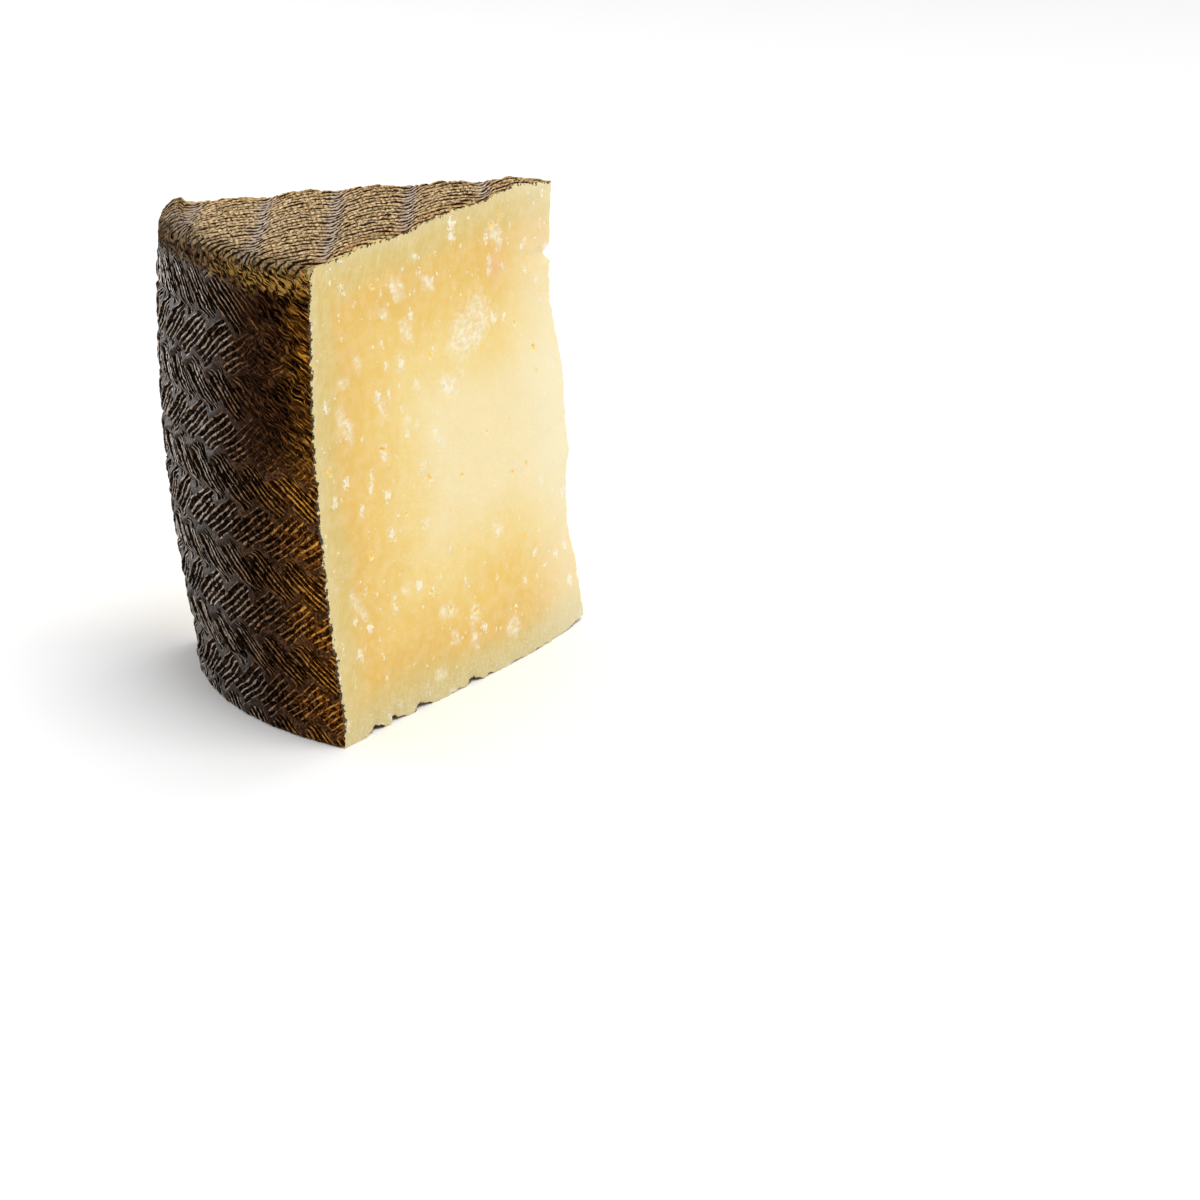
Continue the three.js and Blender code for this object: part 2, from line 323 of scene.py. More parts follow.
def groove_number(falling, across, worn):
    """Whole numbers at the grooves' middles, and which leaves have the close grooves."""
    dense = falling | (worn > 0.5)
    first = np.where(dense, FALLING_FIRST, RISING_FIRST)
    return (across - first) / np.where(dense, FALLING_PITCH, RISING_PITCH), dense


def groove_reach(falling, row, pair, along, across, worn):
    """1 within the span of the nearest groove, 0 beyond its ends and on the ribs."""
    groove, dense = groove_number(falling, across, worn)
    last = np.where(dense, FALLING_LAST, RISING_LAST)
    kind = 2 * pair + falling
    total = 0
    for slot in (np.floor(groove + 0.01), np.ceil(groove - 0.01)):
        off_middle = np.abs(slot - last / 2)
        insets = []
        for least, chance, seed in GROOVE_ENDS:
            inset = least + OUTER_INSET * off_middle + chance * scatter(row, kind, slot, seed=seed)
            insets.append(inset * (1 - 0.8 * worn))
        start, end = insets[0], LEAF_STEPS_LONG - insets[1]
        weight = np.where((slot < 0) | (slot > last), worn, 1.0)
        total = total + 0.5 * weight * smooth(along, start, start + 2) * smooth(-along, -end, 2 - end)
    return total


def print_relief(falling, row, pair, along, across, worn):
    """Depths of the strokes, and of the leaves that hold them, below the ribs.
    worn is 1 where the print has faded to close lines that cross the ribs too."""
    long, wide = LEAF_STEPS_LONG, LEAF_STEPS_WIDE
    kind = 2 * pair + falling
    to_end = np.minimum(along, long - along)
    to_side = np.minimum(across, wide - across)
    inside = smooth(to_side, 0.7, 3) * smooth(to_end, 0.4, 3.6)
    reach = groove_reach(falling, row, pair, along, across, worn)
    groove, _ = groove_number(falling, across, worn)
    section = 0.5 + 0.5 * np.cos(2 * np.pi * groove)
    section = np.where(falling, section, section**0.6)
    deep = GROOVE_DEPTH * (0.7 + 0.5 * scatter(row, kind, seed=9))
    deep = deep * np.where(falling, 1, RISING_SHARE) * (1 - 0.75 * worn)
    fibres = 1 + 0.35 * noise(along / 3.8 + 7.7 * kind, across / 2.3 + 5.1 * row, 11)
    depth = inside * LEAF_FLOOR * (1 - worn) + deep * reach * section * fibres
    share = along / long
    ledge = LEDGE_DEPTH * (1 - share) ** 2
    waist = WAIST_DEPTH * np.sin(np.pi * share)
    form = smooth(to_side, -1, 4) * smooth(to_end, 0, 6)
    return depth, form * np.where(falling, ledge, waist) * (1 - 0.5 * worn)


def row_valleys(across, from_below):
    """The valleys between the rows of leaves: their depth here, and at their middle."""
    row_at = (from_below - LEAF_STEPS_WIDE / 2) / LEAF_STEPS_LONG
    off_valley = np.abs(row_at - np.round(row_at)) * LEAF_STEPS_LONG / VALLEY_STEPS
    valley = between(VALLEY_DEPTH_FAR, VALLEY_DEPTH_NEAR, across)
    valley = valley * (0.6 + 0.8 * scatter(np.round(row_at) + 40, seed=10))
    return valley * np.exp(-(off_valley**2)), valley


def print_drift(across, arc, height, from_below):
    """How far the print strays round and up from its even lattice."""
    sway = layers(arc, height, (0.7, 13, 15, 21), (0.2, 4, 4, 22))
    lift = layers(arc, height, (0.7, 14, 12, 23), (0.2, 4, 3.5, 24))
    turn = 2 * np.pi * (from_below + LEAF_ARCH_FROM) / (2 * LEAF_STEPS_LONG)
    lift = lift + LEAF_ARCH * np.sin(turn)
    return sway, lift - PRINT_DROOP * smooth(1 - across, 0.5, 1)


def print_wear(to_cut, arc, height):
    """1 where the print is worn, 0 where it is whole."""
    worn = smooth(height, WORN_FROM, WORN_TO) * smooth(-to_cut, WORN_OFF, WORN_NEAR)
    worn = np.maximum(worn, smooth(height, TOP_WORN_FROM, TOP_WORN_TO))
    return worn * smooth(noise(arc / 9, height / 7, 25), -0.8, -0.1)


def side_depth(across, height, down, up, from_below, worn):
    """Depth of the leaves, their strokes and the valleys between rows."""
    leaf = leaf_at(down, up)
    strokes, form = print_relief(*leaf, *in_leaf(down, up, *leaf), worn)
    here, valley = row_valleys(across, from_below)
    form = np.maximum(form, here) - 0.2 * valley
    return strokes + form * (1 - 0.85 * smooth(height, 94, 100))


def skin_relief(arc, height, worn):
    """Pores all over, and streaks where the print is worn."""
    pores = layers(arc, height, (0.1, 0.9, 0.9, 26), (0.12, 2.3, 2.3, 27))
    downhill = STREAK_RUN * arc - STREAK_FALL * height
    aside = STREAK_FALL * arc + STREAK_RUN * height
    return 0.85 * pores, 0.55 * worn * noise(downhill / 4, aside / 1.1, 28)


def side_lattice():
    """Steps round and up of every point, and how many points each mesh row has. Rows are offset
    by half a step, so that mesh edges run along the leaves."""
    rows = [[0.0, *range(1 + (up + 1) % 2, STEPS_ROUND, 2), STEPS_ROUND] for up in range(STEPS_UP + 1)]
    lengths = [len(row) for row in rows]
    return np.concatenate(rows), np.repeat(np.arange(STEPS_UP + 1.0), lengths), lengths


def side_points(angle, distance, shoulder, depth):
    """Points at a depth below the side's profile, measured square to it."""
    radius, z = side_profile(distance, shoulder)
    radius_above, z_above = side_profile(distance + 0.1, shoulder)
    radius_below, z_below = side_profile(distance - 0.1, shoulder)
    slope = np.stack([radius_above - radius_below, z_above - z_below])
    slope = slope / np.hypot(*slope)
    radius = radius - depth * slope[1]
    z = np.clip(z + depth * slope[0], 0, None)
    return np.column_stack([bearing(angle) * radius[:, None], z])


def leaf_corners(triangles, down, up, worn):
    """For each corner of the triangles, its place and values in the triangle's leaf."""
    leaf = leaf_at(down[triangles].mean(1), up[triangles].mean(1))
    leaf = [np.repeat(value, 3) for value in leaf]
    corners = triangles.ravel()
    along, across = in_leaf(down[corners], up[corners], *leaf)
    reach = groove_reach(*leaf, along, across, worn[corners])
    luck = scatter(leaf[1], 2 * leaf[2] + leaf[0], seed=15)
    return np.column_stack([across, along, luck, reach, leaf[0]])


def side_patch(shell):
    """The rind's side, as a ladder of mesh rows from foot to top."""
    rounds, ups, lengths = side_lattice()
    across, up_share = rounds / STEPS_ROUND, ups / STEPS_UP
    arc, height = across * RIM_LENGTH, up_share * HEIGHT
    from_left, from_below = rounds - PRINT_STEPS_ROUND, ups - PRINT_STEPS_UP
    down, up = (from_left - from_below) / 2, (from_left + from_below) / 2
    to_cut = np.minimum(2.5 * arc + 4, RIM_LENGTH - arc)
    worn = print_wear(to_cut, arc, height)

    to_border = np.clip(8 * np.minimum(across, 1 - across), 0, 1)
    to_rim = np.clip(12 * np.minimum(up_share, 1 - up_share), 0, 1)
    depth = side_depth(across, height, down, up, from_below, worn)
    depth = to_rim**0.5 * ((0.85 + 0.15 * to_border) * depth - RIB_RISE)
    for relief in skin_relief(arc, height, worn):
        depth = depth + relief

    shoulder = between(TOP_SHOULDER_FAR, TOP_SHOULDER_NEAR, across)
    whole = side_length(shoulder)
    from_foot, from_top = up_share * whole, whole * (1 - up_share)
    cap = smooth(-from_top, -5.5, 0.5) + smooth(-from_foot, -1, -0.2)
    reach = RIM_RADIUS - TOP_SHOULDER_FAR + np.minimum(from_top, from_foot)
    cloth_at = (bearing((across - 0.5) * WEDGE_ANGLE) * reach[:, None]).T
    depth = depth * (1 - cap) - cap * cloth_height(*cloth_at)

    sway, lift = print_drift(across, arc, height, from_below)
    angle = (across - 0.5) * WEDGE_ANGLE + to_border * sway / RIM_RADIUS
    points = side_points(angle, from_foot + to_rim * lift, shoulder, depth)
    row, strand, lane = cloth_place(*cloth_at)
    ids = shell.add(points, worn=worn, to_cut=to_cut, cap=cap, row=row, strand=strand, lane=lane)

    starts = np.cumsum([0, *lengths])
    rungs = [(ids[a:b], across[a:b]) for a, b in zip(starts, starts[1:], strict=False)]
    triangles = np.array(ladder(rungs))
    shell.patch("side", triangles, ids, np.column_stack([arc, height]))
    shell.corners = leaf_corners(triangles, down, up, worn)
    return rungs


# ---------------------------------------------------------------- the top and the foot


def along_far_cut(x, y):
    """Distance from the axis along the far cut."""
    return y * math.sin(HALF_ANGLE) - x * math.cos(HALF_ANGLE)


def off_far_cut(x, y):
    """Distance from the far cut, positive inside the wedge."""
    return -y * math.cos(HALF_ANGLE) - x * math.sin(HALF_ANGLE)


def cut_distance(x, y):
    """Distance inside the nearer cut plane."""
    return np.minimum(off_far_cut(x, y), off_far_cut(x, -y))


def cloth_place(x, y):
    """Rows and strands of the cloth's print, counted from the rim, and how near a lane is."""
    along = -along_far_cut(x, y) + 0.5 * noise(x / 11, y / 11, 31)
    lane = np.floor((along + LANE_START) / LANE_PITCH + 0.5)
    past = along + LANE_START - lane * LANE_PITCH
    climb = CLOTH_SLOPE * along + (LANE_RISE - LANE_DIP) * lane
    climb = climb + LANE_RISE * smooth(past, 0.2, 3.6) - LANE_DIP * smooth(past, -3, 0.6)
    wander = layers(x, y, (0.5, 7, 7, 32), (0.25, 2, 2, 33))
    row = (-off_far_cut(x, y) - climb + wander) / CLOTH_ROW
    return row, along / CLOTH_BEAD, 0.8 * np.exp(-(((past - 0.7) / 1.7) ** 2))


def cloth_height(x, y):
    """Height of the cloth's print above the top's or the foot's plane."""
    row, strand, lane = cloth_place(x, y)
    ridge = np.abs(np.sin(np.pi * row)) ** 0.7
    bead = 0.5 + 0.5 * np.cos(2 * np.pi * (strand + 0.5 * np.floor(row)))
    rough = layers(x, y, (0.16, 1.3, 1.3, 34), (0.2, 3.1, 3.1, 36))
    flat = smooth(off_far_cut(x, -y), -0.5, 2.5)
    return (0.35 + 0.65 * flat) * CLOTH_DEPTH * (ridge * (0.8 + 0.2 * bead * (1 - lane)) - 0.6) + rough


def top_height(x, y):
    """The top without its finest print: crowned, rippled in lanes, and worn down at the tip."""
    share = np.hypot(x, y) / RIM_RADIUS
    lane = 2 * np.pi * (along_far_cut(x, y) - LANE_START) / LANE_PITCH
    inside = np.clip(4 * (1 - share), 0, 1)
    crown = TOP_CROWN * (1 - share) - TOP_RIPPLE * np.cos(lane)
    fall = TOP_FALL * smooth(share, 0.55, 0.85) * smooth(-off_far_cut(x, y), -30, 0)
    return HEIGHT + inside * crown - TIP_CORNER_DROP * np.clip(1 - 8 * share, 0, None) - fall


def top_surface(x, y):
    """The top with the cloth's print."""
    return top_height(x, y) + cloth_height(x, y)


def foot_scallop(from_axis, side):
    """1 in the notches between the lumps of a cut's lower edge, 0 at the lumps."""
    swing = from_axis / SCALLOP_PITCH + 0.5 * noise(from_axis / 17, side * 3.5, 37)
    size = np.clip(0.45 + 0.8 * noise(from_axis / 6, side * 5.5, 38), 0.1, 0.9)
    ends = smooth(from_axis, 14, 34) * smooth(-from_axis, -90, -82)
    return np.sin(np.pi * swing) ** 2 * size * ends


def foot_height(x, y):
    """The foot's edge along a cut, lifted in scallops and chipped at the tip."""
    from_axis = np.hypot(x, y)
    chip = np.clip(1 - from_axis / CHIP_REACH, 0, None)
    scallop = SCALLOP_LIFT * foot_scallop(from_axis, np.sign(y))
    ragged = 0.4 * noise(from_axis / 1.5, np.sign(y) * 9.5, 35)
    return np.clip(np.maximum(chip, scallop + ragged), 0, None)


def foot_surface(x, y):
    """The foot with the cloth's print pressed up into it."""
    edge = smooth(-cut_distance(x, y), -3.5, 0)
    print_up = np.clip(0.1 - cloth_height(x, y), 0, None)
    lifted = np.maximum(foot_height(x, y) * edge, print_up * (1 - edge))
    return np.clip(lifted, 0, None)


# The top and the foot: their plane, their height at a cut's edge and elsewhere, the edge's seed
# and the mesh step.
CAPS = {
    "top": (HEIGHT, top_surface, top_surface, 83, TOP_STEP),
    "foot": (0.0, foot_height, foot_surface, 85, FOOT_STEP),
}


def cut_plan(side, share, z):
    """A point of a cut face, at a share of the way from the tip to the rim."""
    rim = rim_way(side) * swollen_radius(z)[:, None]
    straight = TIP_REACH_AT_FOOT - TIP_LEAN * z / HEIGHT
    tip = np.column_stack([straight, np.zeros(len(z))])
    from_rim = np.clip(1 - share, 0, 1)
    bow = between(BOW_FOOT, -BOW_TOP, z / HEIGHT) * np.sin(np.pi * from_rim**1.8)
    plan = tip + (rim - tip) * share[:, None] + outward(side) * bow[:, None]
    plan[:, 0] += (tip_reach(z) - straight) * from_rim**9
    return plan


def cut_border(shell, side, cap):
    """Points of a cut's top or foot edge, from just inside the rim to just before the tip."""
    z, height_at, _, seed, _ = CAPS[cap]
    reach = RIM_RADIUS - TOP_SHOULDER_FAR - 1
    count = round(reach / BORDER_STEP)
    share = reach / RIM_RADIUS * (1 - np.arange(count) / count)
    along = share * RIM_RADIUS
    notch = foot_scallop(along, side) * (cap == "foot")
    wobble = layers(along, 0 * along + side, (0.5, 1.8, 1, seed), (0.4, 5.5, 1, seed + 1))
    wobble = (wobble - FOOT_NOTCH * notch) * np.clip(6 * share, 0, 1)
    plan = cut_plan(side, share, np.full(count, z)) + outward(side) * wobble[:, None]
    return shell.add(np.column_stack([plan, height_at(*plan.T)]), notch=notch)


def cap_patch(shell, cap, far_ids, near_ids, side_end, tip_id):
    """The top or the foot: an arc of points for each pair of border points, from rim to tip."""
    _, _, surface, _, step = CAPS[cap]
    rungs = [side_end]
    for far_id, near_id in zip(far_ids, near_ids, strict=True):
        far, near = shell.points[far_id, :2], shell.points[near_id, :2]
        radius = (np.hypot(*far) + np.hypot(*near)) / 2
        parts = max(1, round(radius * WEDGE_ANGLE / step))
        at = np.arange(1, parts) / parts
        turn = (at - 0.5) * WEDGE_ANGLE
        sag = radius * (1 - math.cos(HALF_ANGLE) / np.cos(turn))
        plan = far + (near - far) * at[:, None] + bearing(turn) * sag[:, None]
        ids = shell.add(np.column_stack([plan, surface(*plan.T)]))
        rungs.append(([far_id, *ids, near_id], [0.0, *at, 1.0]))
    rungs.append(([tip_id], [0.0]))
    if cap == "foot":
        rungs.reverse()
    ids = np.unique(np.concatenate([np.array(ids, int) for ids, _ in rungs]))
    x, y = shell.plan(ids)
    shell.patch(cap, ladder(rungs), ids, np.column_stack([along_far_cut(x, y), off_far_cut(x, y)]))
    row, strand, lane = cloth_place(x, y)
    marks = {"row": row, "strand": strand, "lane": lane, "cap": 1.0, "to_cut": cut_distance(x, y)}
    for name, values in marks.items():
        shell.values[name][ids] = values


# ---------------------------------------------------------------- the cut faces

# Holes in the near cut face: distance from the axis, height, length, width, turn in degrees.
NEAR_EYES = (
    (23.7, 104, 2.6, 1.7, 50), (19.7, 79.6, 2.2, 1.0, 40), (12.3, 72, 2.4, 1.2, 50),
    (52.2, 80.4, 2.6, 1.4, 80), (70.6, 101, 2.2, 1.3, 30), (90.2, 64.3, 3.4, 1.5, 60),
    (71, 63.8, 3.0, 1.6, 50), (56, 53, 2.4, 1.5, 20), (65.2, 47, 1.5, 1.2, 0),
    (33.5, 57.5, 1.4, 1.0, 60), (44.3, 50, 1.6, 0.9, 70), (19.3, 45.8, 2.2, 0.9, 80),
    (25.2, 45.4, 1.8, 0.9, 70), (78.5, 41.3, 3.4, 1.8, 60), (53, 20.4, 2.4, 1.7, 30),
    (44, 17, 2.0, 1.8, 60), (36, 22.5, 1.8, 1.2, 60), (59.3, 26.3, 2.0, 1.3, 40),
)

# Torn, crumbly patches in the near cut face: the same numbers.
NEAR_CRUMBS = (
    (37, 83, 16, 10, -30), (83.5, 82.5, 4, 2.5, 30), (84, 73, 9, 3.5, 65), (46, 71.7, 6.5, 4, 40),
    (50.6, 96.7, 4, 3, 20), (62, 98, 6, 4, 60), (67.7, 94.2, 3, 2.5, 0), (60, 88, 6, 3, 60),
    (78, 85.8, 3, 2, 70), (62, 68, 3, 2, 0), (70.6, 73.3, 7, 1.8, 65), (51.8, 61.7, 4, 2, 60),
    (30.6, 8.5, 5, 4, 30), (45, 11, 8, 1.6, 80), (84, 31, 7, 2.5, 60), (67.7, 29.6, 3, 2, 0),
    (34, 34, 4, 2.5, 50), (57.7, 6, 4, 3, 0), (52, 13, 4, 2, 50), (23, 102, 6, 4, 60),
    (54, 20, 6, 3, 20), (44, 16, 5, 3, 60), (71, 63, 5, 2.5, 60),
)
BLUSH_AT = (25.2, 94.2)  # a faint pink spot in the near cut face
BLUSH_SIZE = (2.2, 3.6)
EYE_DEPTH = 0.5

# Marks strewn over the far cut face: how many, the seed, the longest and the widest.
FAR_EYES = (22, 41, 3.4, 1.6)
FAR_CRUMBS = (24, 42, 9, 4)


def far_marks(count, seed, longest, widest):
    draw = np.random.default_rng(seed)
    share = draw.uniform(0.08, 0.95, (count, 2))
    length = longest * draw.uniform(0.4, 1, count) ** 1.3
    width = length * draw.uniform(0.4, 0.7, count) * widest / longest * 2
    turn = draw.uniform(20, 90, count)
    return np.column_stack([share * (92, HEIGHT), length, width, turn])


def marks_of(side):
    if side < 0:
        return np.array(NEAR_EYES, float), np.array(NEAR_CRUMBS, float)
    return far_marks(*FAR_EYES), far_marks(*FAR_CRUMBS)


def closeness(along, z, marks, seed):
    """For each point, how deep it lies in the nearest mark: 1 at its middle, 0 at its ragged edge."""
    ragged = layers(along, z, (0.35, 1.1, 1.1, seed), (0.2, 0.5, 0.5, seed + 1))
    deepest = np.full(len(along), -9.0)
    for s, height, length, width, turn in marks:
        c, d = math.cos(math.radians(turn)), math.sin(math.radians(turn))
        u = (c * (along - s) + d * (z - height)) / (length / 2)
        v = (c * (z - height) - d * (along - s)) / (width / 2)
        deepest = np.maximum(deepest, 1 - np.hypot(u, v))
    return deepest + ragged * (deepest > -2)


def cut_relief(along, z, side):
    """How far a cut face stands out of its plane, with its holes, crumbs and flecks."""
    eyes, crumbs = marks_of(side)
    seed = 50 if side < 0 else 70
    eye = smooth(closeness(along, z, eyes, seed), 0.0, 0.75)
    crumb = smooth(closeness(along, z, crumbs, seed + 2), -0.45, 0.35)
    broad = layers(along, z, (0.22, 11, 13, seed + 4), (0.08, 4, 5, seed + 5))
    broad = broad - FOOT_NOTCH * foot_scallop(along, side) * np.exp(-z / 3)
    torn = layers(along, z, (1, 1.2, 1.2, seed + 6), (0.6, 0.7, 0.7, seed + 7))
    fleck = smooth(noise(along / 1.9, z / 2.6, seed + 8), 0.42, 0.75)
    return broad + crumb * (0.28 * torn - 0.12) + 0.06 * fleck - EYE_DEPTH * eye, eye, crumb


def wanted_step(along, z, side, rim):
    """The mesh step: fine at the border, in holes and in crumbly patches, coarse elsewhere."""
    eyes, crumbs = marks_of(side)
    eye = closeness(along, z, eyes, 99)
    crumb = closeness(along, z, crumbs, 99)
    to_edge = np.minimum(np.minimum(z, HEIGHT - z), rim - along)
    step = np.clip(RIM_STEP + STEP_GROWTH * to_edge, RIM_STEP, COARSE_STEP)
    step = np.where(crumb > -0.6, np.minimum(step, CRUMB_STEP), step)
    return np.where(eye > -0.7, np.minimum(step, FINE_STEP), step)


def nearest(points, others):
    """Distance from each point to the nearest of the others."""
    tree = kdtree.KDTree(len(others))
    for i, other in enumerate(others):
        tree.insert((*other, 0), i)
    tree.balance()
    return np.array([tree.find((*point, 0))[2] for point in points])


def inner_points(border, side):
    """Points inside a cut face's border, close where there is detail. All are (along, height)."""
    following = np.roll(border, -1, 0)
    parts = [border + (following - border) * part for part in (0, 0.25, 0.5, 0.75)]
    kept_clear = np.concatenate(parts)
    draw = np.random.default_rng(60 + side)
    kept = []
    for level in range(3):
        step = COARSE_STEP / 2**level
        s, z = np.meshgrid(np.arange(-6, 100, step), np.arange(0, HEIGHT + 3, step * 0.866))
        s = s + 0.5 * step * (np.arange(len(s)) % 2)[:, None]
        s = s.ravel() + draw.uniform(-STEP_JITTER, STEP_JITTER, s.size) * step
        z = z.ravel() + draw.uniform(-STEP_JITTER, STEP_JITTER, z.size) * step
        rim = swollen_radius(z)
        want = wanted_step(s, z, side, rim)
        chosen = np.clip(np.round(np.log2(COARSE_STEP / want)), 0, 2) == level
        chosen &= (s < rim + 2) & (s > -tip_reach(z) - 1)
        points = np.column_stack([s[chosen], z[chosen]])
        kept.append(points[nearest(points, kept_clear) > 0.4 * min(step, CRUMB_STEP)])
    kept = np.concatenate(kept)
    return kept[inside(kept, border)]


def inside(points, border):
    """Which points lie inside the border's polygon."""
    s, z = points[:, 0][:, None], points[:, 1][:, None]
    s0, z0 = border[:, 0][None], border[:, 1][None]
    s1, z1 = np.roll(border[:, 0], -1)[None], np.roll(border[:, 1], -1)[None]
    crosses = (z0 > z) != (z1 > z)
    with np.errstate(divide="ignore", invalid="ignore"):
        at = s0 + (z - z0) * (s1 - s0) / (z1 - z0)
    return (crosses & (s < at)).sum(1) % 2 == 1


def triangulate(border, inner):
    """Triangles over the border's polygon, with the inner points in it."""
    points = np.concatenate([border, inner])
    count = len(border)
    sides = [(i, (i + 1) % count) for i in range(count)]
    made = geometry.delaunay_2d_cdt([Vector(point) for point in points], sides, [], 0, 1e-7, True)
    faces = np.array([[made[3][v][0] for v in face] for face in made[2]])
    outer = (faces < count).all(1)
    outer[outer] = ~inside(points[faces].mean(1)[outer], border)
    return faces[~outer]


def cut_patch(shell, side, name, loop, tip_count):
    """A cut face inside its loop of border points: foot, rim, top and then the tip's edge."""
    edge = shell.points[loop]
    border = np.column_stack([edge[:, :2] @ rim_way(side), edge[:, 2]])
    inner = inner_points(border, side)
    along, z = inner[:, 0], inner[:, 1]
    tip = -tip_reach(z) * math.cos(HALF_ANGLE)
    rim = swollen_radius(z)
    share = np.clip((along - tip) / (rim - tip), 0, None)
    out, eye, crumb = cut_relief(along, z, side)
    to_edge = np.minimum(np.minimum(z, HEIGHT - z), np.minimum(rim - along, along - tip))
    plan = cut_plan(side, share, z) + outward(side) * (out * smooth(to_edge, 0, 1.5))[:, None]
    (s, high), (wide, tall) = BLUSH_AT, BLUSH_SIZE
    blush = np.exp(-(((along - s) / wide) ** 2) - ((z - high) / tall) ** 2) * (side < 0)
    ids = shell.add(
        np.column_stack([plan, z]),
        eye=eye,
        crumb=crumb,
        edge=nearest(inner, border[:-tip_count]),
        blush=blush,
        notch=foot_scallop(along, side) * np.exp(-z / 2),
    )
    ids = np.concatenate([loop, ids])
    triangles = ids[triangulate(border, inner)]
    if side < 0:
        triangles = triangles[:, ::-1]
    shell.patch(name, triangles, ids, np.concatenate([border, inner]))


# ---------------------------------------------------------------- the whole wedge


def add_object(name, data):
    made = bpy.data.objects.new(name, data)
    bpy.context.scene.collection.objects.link(made)
    return made


def tip_column(shell):
    """The tip's edge, from foot to top."""
    heights = np.linspace(0, HEIGHT, TIP_POINTS)
    rough = layers(heights, 0 * heights, (0.25, 1.7, 1, 81), (0.2, 4.5, 1, 82))
    fade = np.clip(np.minimum(heights, HEIGHT - heights) / 3, 0, 1)
    x = tip_reach(heights) + rough * fade
    z = np.linspace(foot_height(x[0], 0.0), top_height(x[-1], 0.0), TIP_POINTS)
    return shell.add(np.column_stack([x, 0 * x, z]), edge=np.minimum(z - z[0], z[-1] - z))


def build_shell():
    shell = Shell()
    side = side_patch(shell)
    tip = tip_column(shell)
    borders = {}
    for sign in (1, -1):
        for cap in ("top", "foot"):
            borders[sign, cap] = cut_border(shell, sign, cap)
    for cap, end in (("top", -1), ("foot", 0)):
        cap_patch(shell, cap, borders[1, cap], borders[-1, cap], side[end], tip[end])
    for sign, end, name in ((1, 0, "far_cut"), (-1, -1, "near_cut")):
        rim = np.array([ids[end] for ids, _ in side])
        loop = [borders[sign, "foot"][::-1], rim, borders[sign, "top"], tip[::-1]]
        cut_patch(shell, sign, name, np.concatenate(loop), len(tip))
    return shell


# For each patch: its material, its group of smooth shading, and its place on the square texture
# map in millimetres, as the left and lower side, the scale, and whether it lies turned.
PATCHES = {
    "side": ("rind", 0, (1, 1), 1.0, False),
    "near_cut": ("paste", 2, (103, 1), 1.0, False),
    "far_cut": ("paste", 1, (2, 123), 1.0, True),
    "top": ("rind", 0, (116, 115), 1.0, False),
    "foot": ("rind", 0, (116, 190), 0.35, False),
}
MAP_SIDE = 219.0


def map_places(name, places):
    _, _, corner, scale, turned = PATCHES[name]
    if turned:
        places = places[:, ::-1]
    return (places * scale + np.array(corner)) / MAP_SIDE


def set_values(mesh, key, kind, domain, values):
    attribute = mesh.attributes.new(key, kind, domain)
    slot = "vector" if kind == "FLOAT_VECTOR" else "value"
    attribute.data.foreach_set(slot, np.ascontiguousarray(values).ravel())


def mesh_object(shell, name, materials):
    points = shell.points * MM
    points[:, 0] += AXIS_X * MM
    triangles = np.concatenate([faces for _, faces, _ in shell.patches])
    mesh = bpy.data.meshes.new(name)
    mesh.from_pydata(points.tolist(), [], triangles.tolist())
    uvs, slots, groups = [], [], []
    for patch, faces, places in shell.patches:
        material, group, *_ = PATCHES[patch]
        uvs.append(map_places(patch, places)[faces.ravel()])
        slots.append(np.full(len(faces), materials.index(material)))
        groups.append(np.full(len(faces), group))
    layer = mesh.uv_layers.new(name="OFBake")
    layer.data.foreach_set("uv", np.concatenate(uvs).astype(np.float32).ravel())
    mesh.polygons.foreach_set("material_index", np.concatenate(slots).astype(np.int32))
    for key, values in shell.values.items():
        set_values(mesh, key, "FLOAT", "POINT", values.astype(np.float32))
    corners = np.zeros((len(mesh.loops), 5), np.float32)
    corners[: len(shell.corners)] = shell.corners
    set_values(mesh, "leaf", "FLOAT_VECTOR", "CORNER", corners[:, :3])
    set_values(mesh, "reach", "FLOAT", "CORNER", corners[:, 3])
    set_values(mesh, "falling", "FLOAT", "CORNER", corners[:, 4])
    sharpen_cut_edges(mesh, np.repeat(np.concatenate(groups), 3))
    for material in materials:
        mesh.materials.append(material_of(material))
    mesh.validate()
    return add_object(name, mesh)


def sharpen_cut_edges(mesh, loop_group):
    """Shading breaks where a cut meets the rind, and at the tip."""
    edge_of_loop = np.zeros(len(mesh.loops), np.int32)
    mesh.loops.foreach_get("edge_index", edge_of_loop)
    low = np.full(len(mesh.edges), 9)
    high = np.full(len(mesh.edges), -9)
    np.minimum.at(low, edge_of_loop, loop_group)
    np.maximum.at(high, edge_of_loop, loop_group)
    set_values(mesh, "sharp_edge", "BOOLEAN", "EDGE", low != high)


# ---------------------------------------------------------------- materials


def linear(colour):
    """A colour given as on a screen, 0 to 255, in the scene's linear light. A wire is left alone."""
    if isinstance(colour, Wire):
        return colour
    shares = [channel / 255 for channel in colour]
    light = [s / 12.92 if s <= 0.04045 else ((s + 0.055) / 1.055) ** 2.4 for s in shares]
    return (*light, 1.0)


def operator(kind):
    """A method that joins a wire and a wire or number with a math node."""
    return lambda wire, other: wire.nodes.math(kind, wire, other)


class Wire:
    """One output of a node."""

    __add__ = operator("ADD")
    __sub__ = operator("SUBTRACT")
    __mul__ = operator("MULTIPLY")
    __truediv__ = operator("DIVIDE")
    __pow__ = operator("POWER")

    def __init__(self, nodes, socket):
        self.nodes = nodes
        self.socket = socket

    def __rsub__(self, other):
        return self.nodes.math("SUBTRACT", other, self)


